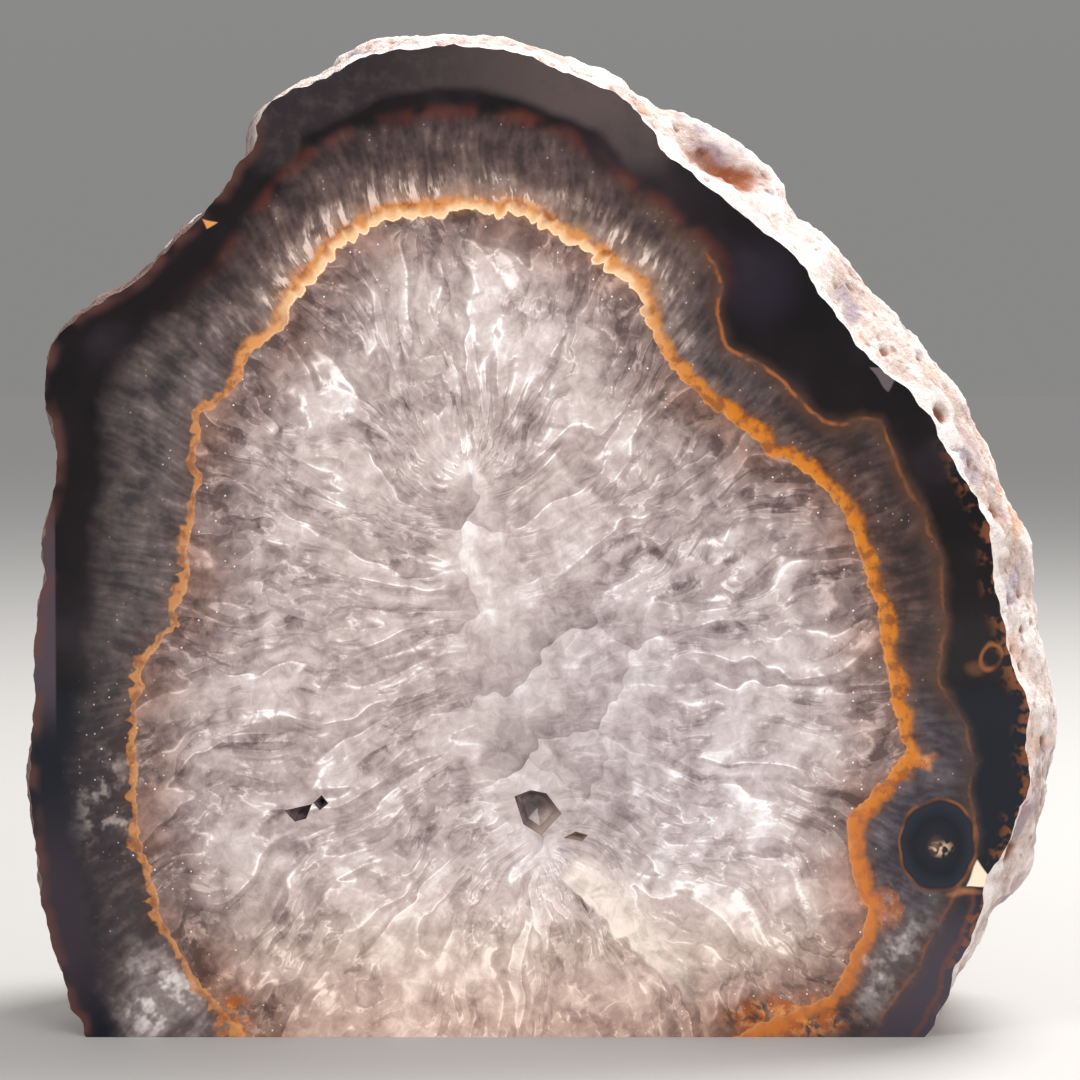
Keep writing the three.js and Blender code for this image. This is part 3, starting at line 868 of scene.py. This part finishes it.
def ironSeam(flat, run, seamOut, colour):
    # The iron-stained line: rounded teeth that point inward at the top, small sharp ones
    # that point outward on the left, a smooth wavy ribbon on the right
    x, height, _ = split(flat)
    atTop = times(fade(height, 106.0, 120.0), fade(x, 26.0, 18.0))
    atLeft = times(fade(x, -36.0, -50.0), fade(height, 112.0, 96.0))
    atRight = fade(x, 14.0, 30.0)
    lengthwise = joined(plus(run, off(noiseOf(flat, 5.0, 1), 2.4)), 0.0, 0.0)
    teeth = cells(scaled(lengthwise, 1 / 2.4, 1.0), 0.0)
    own = split(teeth["Color"])
    rounded = times(plus(0.25, times(teeth["Distance"], teeth["Distance"], -1.0)), 4.0)
    pointed = plus(1.0, times(teeth["Distance"], -2.2))
    wave = plus(off(noiseOf(flat, 2.8), 1.5), off(noiseOf(moved(flat, 20, 0), 0.8, 1), 0.45))
    inward = times(rounded, own[0], plus(times(atTop, 0.85), 0.25))
    outward = times(pointed, times(own[1], atLeft), 1.1)
    thick = noiseOf(flat, 7)
    width = plus(times(atTop, 0.6), times(atRight, 0.6), off(thick, 2.2), 0.72)
    inner = plus(seamOut, inward, wave, 0.3)            # 0 on the band's inner side
    outer = plus(seamOut, times(calc("MAXIMUM", width, 0.45), -1.0), times(outward, -1.0), wave)
    body = times(fade(inner, -0.12, 0.12), fade(outer, fade(atLeft, 0, 1, 1.2, 0.2), -0.3))

    rustiness = noiseOf(flat, 2.4, 4, 0.62)
    deep = mix(atRight, tone(148, 84, 36), tone(132, 68, 12))
    full = mix(atRight, tone(200, 134, 76), tone(190, 112, 24))
    orange = mix(fade(rustiness, 0.34, 0.58), deep, full)
    low = times(fade(height, 46.0, 30.0), atRight)
    orange = tinted(orange, low, 0.6, (184, 104, 54))
    paleSide = fade(plus(inner, off(rustiness, 2.4)), 2.2, 0.3)
    orange = mix(times(paleSide, plus(times(atTop, 0.8), 0.06)), orange, tone(240, 202, 160))
    rim = times(near(inner, 0.16, 0.24), plus(times(atTop, 0.55), 0.08))
    orange = mix(rim, orange, tone(250, 226, 194))

    # A warm haze round it, over the fibres, and wide stains at its feet
    haze = times(fade(seamOut, 4.6, 0.6), fade(seamOut, -1.8, 0.4), fade(rustiness, 0.3, 0.62))
    colour = mix(times(haze, plus(times(atTop, 0.36), times(atRight, 0.36), 0.16)), colour,
                 mix(atTop, tone(118, 70, 36), tone(196, 134, 76)))
    ragged = fade(noiseOf(bent(flat, 3, 1.2), 2.6, 4, 0.62), 0.38, 0.55)
    stain = plus(times(spot(flat, 39, 3.2, 2, 8, 1.6, 0.62), ragged),
                 times(spot(flat, 54, 20.5, 1, 6, 1.0, 0.9), ragged, 0.6),
                 times(spot(flat, -48, 2.5, 2, 5, 0.8, 1.1), ragged),
                 times(spot(bent(flat, 2, 1.0), 59, 43.6, 0.5, 2.6, 1.6, 0.7), 0.85))
    stained = mix(fade(rustiness, 0.4, 0.65), tone(166, 88, 38), tone(212, 142, 84))
    colour = mix(calc("MINIMUM", stain, 0.9), colour, stained)
    return mix(times(body, fade(atLeft, 0, 1, 1.0, 0.75)), colour, orange)


def makeCut(name, parts, finish, sawMarks=False):
    # One cut surface. parts says which side of the seam it shows: heart, border or both.
    made, place = newMaterial(name, "2D")
    x, y, z = split(place)
    below = plus(z, times(plus(y, -faceY / mm), -1.0))      # the base unrolls below the face
    flat = joined(x, below, 0.0)
    turnX, turnY, reach = split(attribute("fan", "Vector"))
    fan = joined(times(calc("ARCTAN2", turnY, turnX), bands["fanReach"]), reach, 0.0)
    rimIn, darkOut, seamOut = split(attribute("layers", "Vector"))
    heart = milkyQuartz(flat, fan, seamOut) if "heart" in parts else None
    border = borderPattern(flat, fan, rimIn, darkOut, seamOut) if "border" in parts else None
    colour = heart or border
    if heart and border:
        run = attribute("run")
        colour = mix(fade(seamOut, 0.2, -0.2), border, heart)
        colour = ironSeam(flat, run, seamOut, colour)
    height = None
    if sawMarks:
        colour = mix(0.35, colour, tone(168, 158, 154))          # rock flour dulls it
        height = times(noiseOf(scaled(flat, 0.05, 1.0), 0.7), 0.1)
    finishMaterial(colour, height, finish)
    return made


def makeRind():
    made, place = newMaterial("rough rind", "3D")
    pit = attribute("pit")
    hollow = attribute("hollow")
    x, y, z = split(place)
    patches = noiseOf(place, 15, 3, 0.6)
    grain = noiseOf(place, 1.5, 4, 0.7)
    light = plus(times(patches, 0.55), times(grain, 0.45))
    colour = ramp(light, [
        (0.32, tone(158, 131, 121)), (0.44, tone(192, 172, 165)), (0.54, tone(216, 203, 198)),
        (0.68, tone(243, 238, 235))])
    rust = fade(noiseOf(moved(place, 4, 0, 11), 12, 3, 0.65), 0.53, 0.68)
    colour = tinted(colour, rust, 0.7, (202, 150, 118))
    glassy = fade(noiseOf(moved(place, 31, 7, 3), 9, 2), 0.58, 0.66)
    colour = tinted(colour, glassy, 0.65, (146, 132, 148))
    speckPlace = scaled(bent(place, 3, 0.7), 1 / 1.9, 1 / 1.9, 1 / 1.9)
    specks = cells(speckPlace)
    small = times(fade(specks["Distance"], 0.14, 0.44, 1.0, 0.0),
                  fade(split(specks["Color"])[0], 0.5, 0.56))
    colour = tinted(colour, small, 0.6, (140, 96, 84))
    # Painted shade: red-brown darkening where the skin lies below its surroundings
    paintedHollowShade = fade(plus(hollow, off(grain, 0.7)), 0.1, 0.7)
    colour = tinted(colour, paintedHollowShade, 0.75, (150, 98, 74))
    # Painted shade: the pits darkened to deep brown, most where they are deepest
    colour = mix(fade(pit, 0.2, 1.2, 0.0, 0.8), colour, tone(110, 62, 42))
    # Painted highlight: near-white where the skin stands above its surroundings
    paintedBumpHighlight = fade(plus(hollow, off(grain, 0.5)), -0.1, -0.5)
    colour = tinted(colour, paintedBumpHighlight, 0.5, (250, 244, 242))
    # Rust-brown in the hollow under the lip at the upper right, with painted shade that deepens it where the
    # skin lies lowest
    groove = times(spot(joined(x, z, 0.0), 30.2, 134.6, 1.5, 5.5, 1.4, 0.8),
                   fade(y, faceY / mm + 2, faceY / mm + 4))
    colour = mix(times(groove, fade(hollow, -0.3, 0.3, 0.3, 0.9)), colour, tone(140, 74, 36))
    # The left edge is darkened red-brown where it meets the face: partly a stain, partly painted shade
    behind = plus(y, off(patches, 30.0), -faceY / mm)
    stained = times(fade(x, -38.0, -50.0), fade(behind, 26.0, 8.0))
    stain = mix(fade(grain, 0.4, 0.65), tone(66, 44, 42), tone(122, 84, 72))
    colour = mix(times(stained, 0.85), colour, stain)
    finishMaterial(colour, times(grain, 0.9), {"Roughness": 0.86, "Specular IOR Level": 0.25})
    return made


def makeGap():
    made, place = newMaterial("crystal gap", "3D")
    light = noiseOf(place, 2.2, 3)
    colour = ramp(light, [
        (0.3, tone(84, 70, 74)), (0.55, tone(122, 106, 108)), (0.8, tone(190, 172, 166))])
    x, _, z = split(place)
    lit = fade(plus(x, times(z, -1.0)), -37.0, -31.0)
    colour = tinted(colour, lit, 0.6, (222, 200, 186))
    finishMaterial(colour, None, {"Roughness": 0.2, "Specular IOR Level": 0.5})
    return made


print("making the materials")
slots = ["rind", "heart", "border", "seam", "base", "gap"]      # in the order of the list below
polish = {
    "Roughness": 0.4, "Specular IOR Level": 0.0,
    "Coat Weight": 1.0, "Coat Roughness": 0.04, "Coat IOR": 1.3,
}
sawn = {"Roughness": 0.62, "Specular IOR Level": 0.35}
stone.data.materials.clear()
for made in [
    makeRind(),
    makeCut("milky quartz", ["heart"], polish),
    makeCut("dark agate border", ["border"], polish),
    makeCut("iron seam", ["heart", "border"], polish),
    makeCut("sawn base", ["heart", "border"], sawn, sawMarks=True),
    makeGap(),
]:
    stone.data.materials.append(made)
nameZones(stone)

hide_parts("agate_geode")
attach(stone, "root")


# Floor, lights and camera
studio = {
    "floorSize": 12.0, "floorColour": (0.46, 0.456, 0.45, 1), "floorRoughness": 0.7,
    "roomColour": (1.0, 0.99, 0.98, 1),
    "roomLow": 0.25, "roomHigh": 0.6,        # brightness of the room at the horizon and overhead
    "lights": {
        # A tall soft light behind the camera: its foot is the level line in the polish
        "front": {"at": (0.0, -0.66, 0.5), "aim": (0.0, 0.0, 0.5), "size": (1.6, 0.996), "watts": 1.8,
                  "colour": (1.0, 0.95, 0.92)},
        "left": {"at": (-0.85, -0.75, 0.9), "aim": (0, 0, 0.08), "size": (0.7, 0.7), "watts": 5.5,
                 "colour": (1.0, 0.99, 0.97)},
        "fill": {"at": (0.35, -0.85, 0.42), "aim": (0, 0, 0.05), "size": (0.5, 0.5), "watts": 4.2,
                 "colour": (1.0, 0.98, 0.96)},
        "rim": {"at": (0.38, 0.36, 1.0), "aim": (0, 0, 0.08), "size": (0.5, 0.5), "watts": 18,
                "colour": (1.0, 0.97, 0.94)},
    },
    "distance": 0.632, "elevation": 3.0, "aimHeight": 0.0782, "lens": 135,
}


def makeFloor():
    bpy.ops.mesh.primitive_plane_add(size=studio["floorSize"], location=(0, 0, 0))
    floor = bpy.context.object
    floor.name = "floor"
    made = bpy.data.materials.new("pale floor")
    made.use_nodes = True
    shader = made.node_tree.nodes["Principled BSDF"]
    shader.inputs["Base Color"].default_value = studio["floorColour"]
    shader.inputs["Roughness"].default_value = studio["floorRoughness"]
    floor.data.materials.append(made)


def makeRoom():
    # The room is brighter overhead, and at the horizon as bright as the floor far away
    world = bpy.data.worlds.new("room")
    world.use_nodes = True
    painting["tree"] = world.node_tree
    walls = world.node_tree.nodes["Background"]
    up = split(add("TexCoord", {}).outputs["Generated"])[2]
    light = fade(up, 0.02, 0.9, studio["roomLow"], studio["roomHigh"])
    world.node_tree.links.new(light, walls.inputs["Strength"])
    walls.inputs["Color"].default_value = studio["roomColour"]
    bpy.context.scene.world = world


def makeLight(name, facts):
    lamp = bpy.data.lights.new(name, "AREA")
    lamp.shape = "RECTANGLE"
    lamp.size, lamp.size_y = facts["size"]
    lamp.energy, lamp.color = facts["watts"], facts["colour"]
    made = bpy.data.objects.new(name, lamp)
    made.location = facts["at"]
    made.rotation_euler = (Vector(facts["aim"]) - made.location).to_track_quat("-Z", "Y").to_euler()
    made.visible_camera = False
    bpy.context.collection.objects.link(made)


def makeCamera():
    camera = bpy.data.objects.new("camera", bpy.data.cameras.new("camera"))
    bpy.context.collection.objects.link(camera)
    camera.data.lens = studio["lens"]
    aim = Vector((geode["middleX"] * mm, faceY, studio["aimHeight"]))
    rise = math.radians(studio["elevation"])
    camera.location = aim + studio["distance"] * Vector((0, -math.cos(rise), math.sin(rise)))
    camera.rotation_euler = (aim - camera.location).to_track_quat("-Z", "Y").to_euler()
    bpy.context.scene.camera = camera


print("setting the floor, lights and camera")
onlySelect(stone)
makeFloor()
for name, facts in studio["lights"].items():
    makeLight(name, facts)
makeRoom()
bpy.context.scene.view_settings.view_transform = "Standard"
makeCamera()
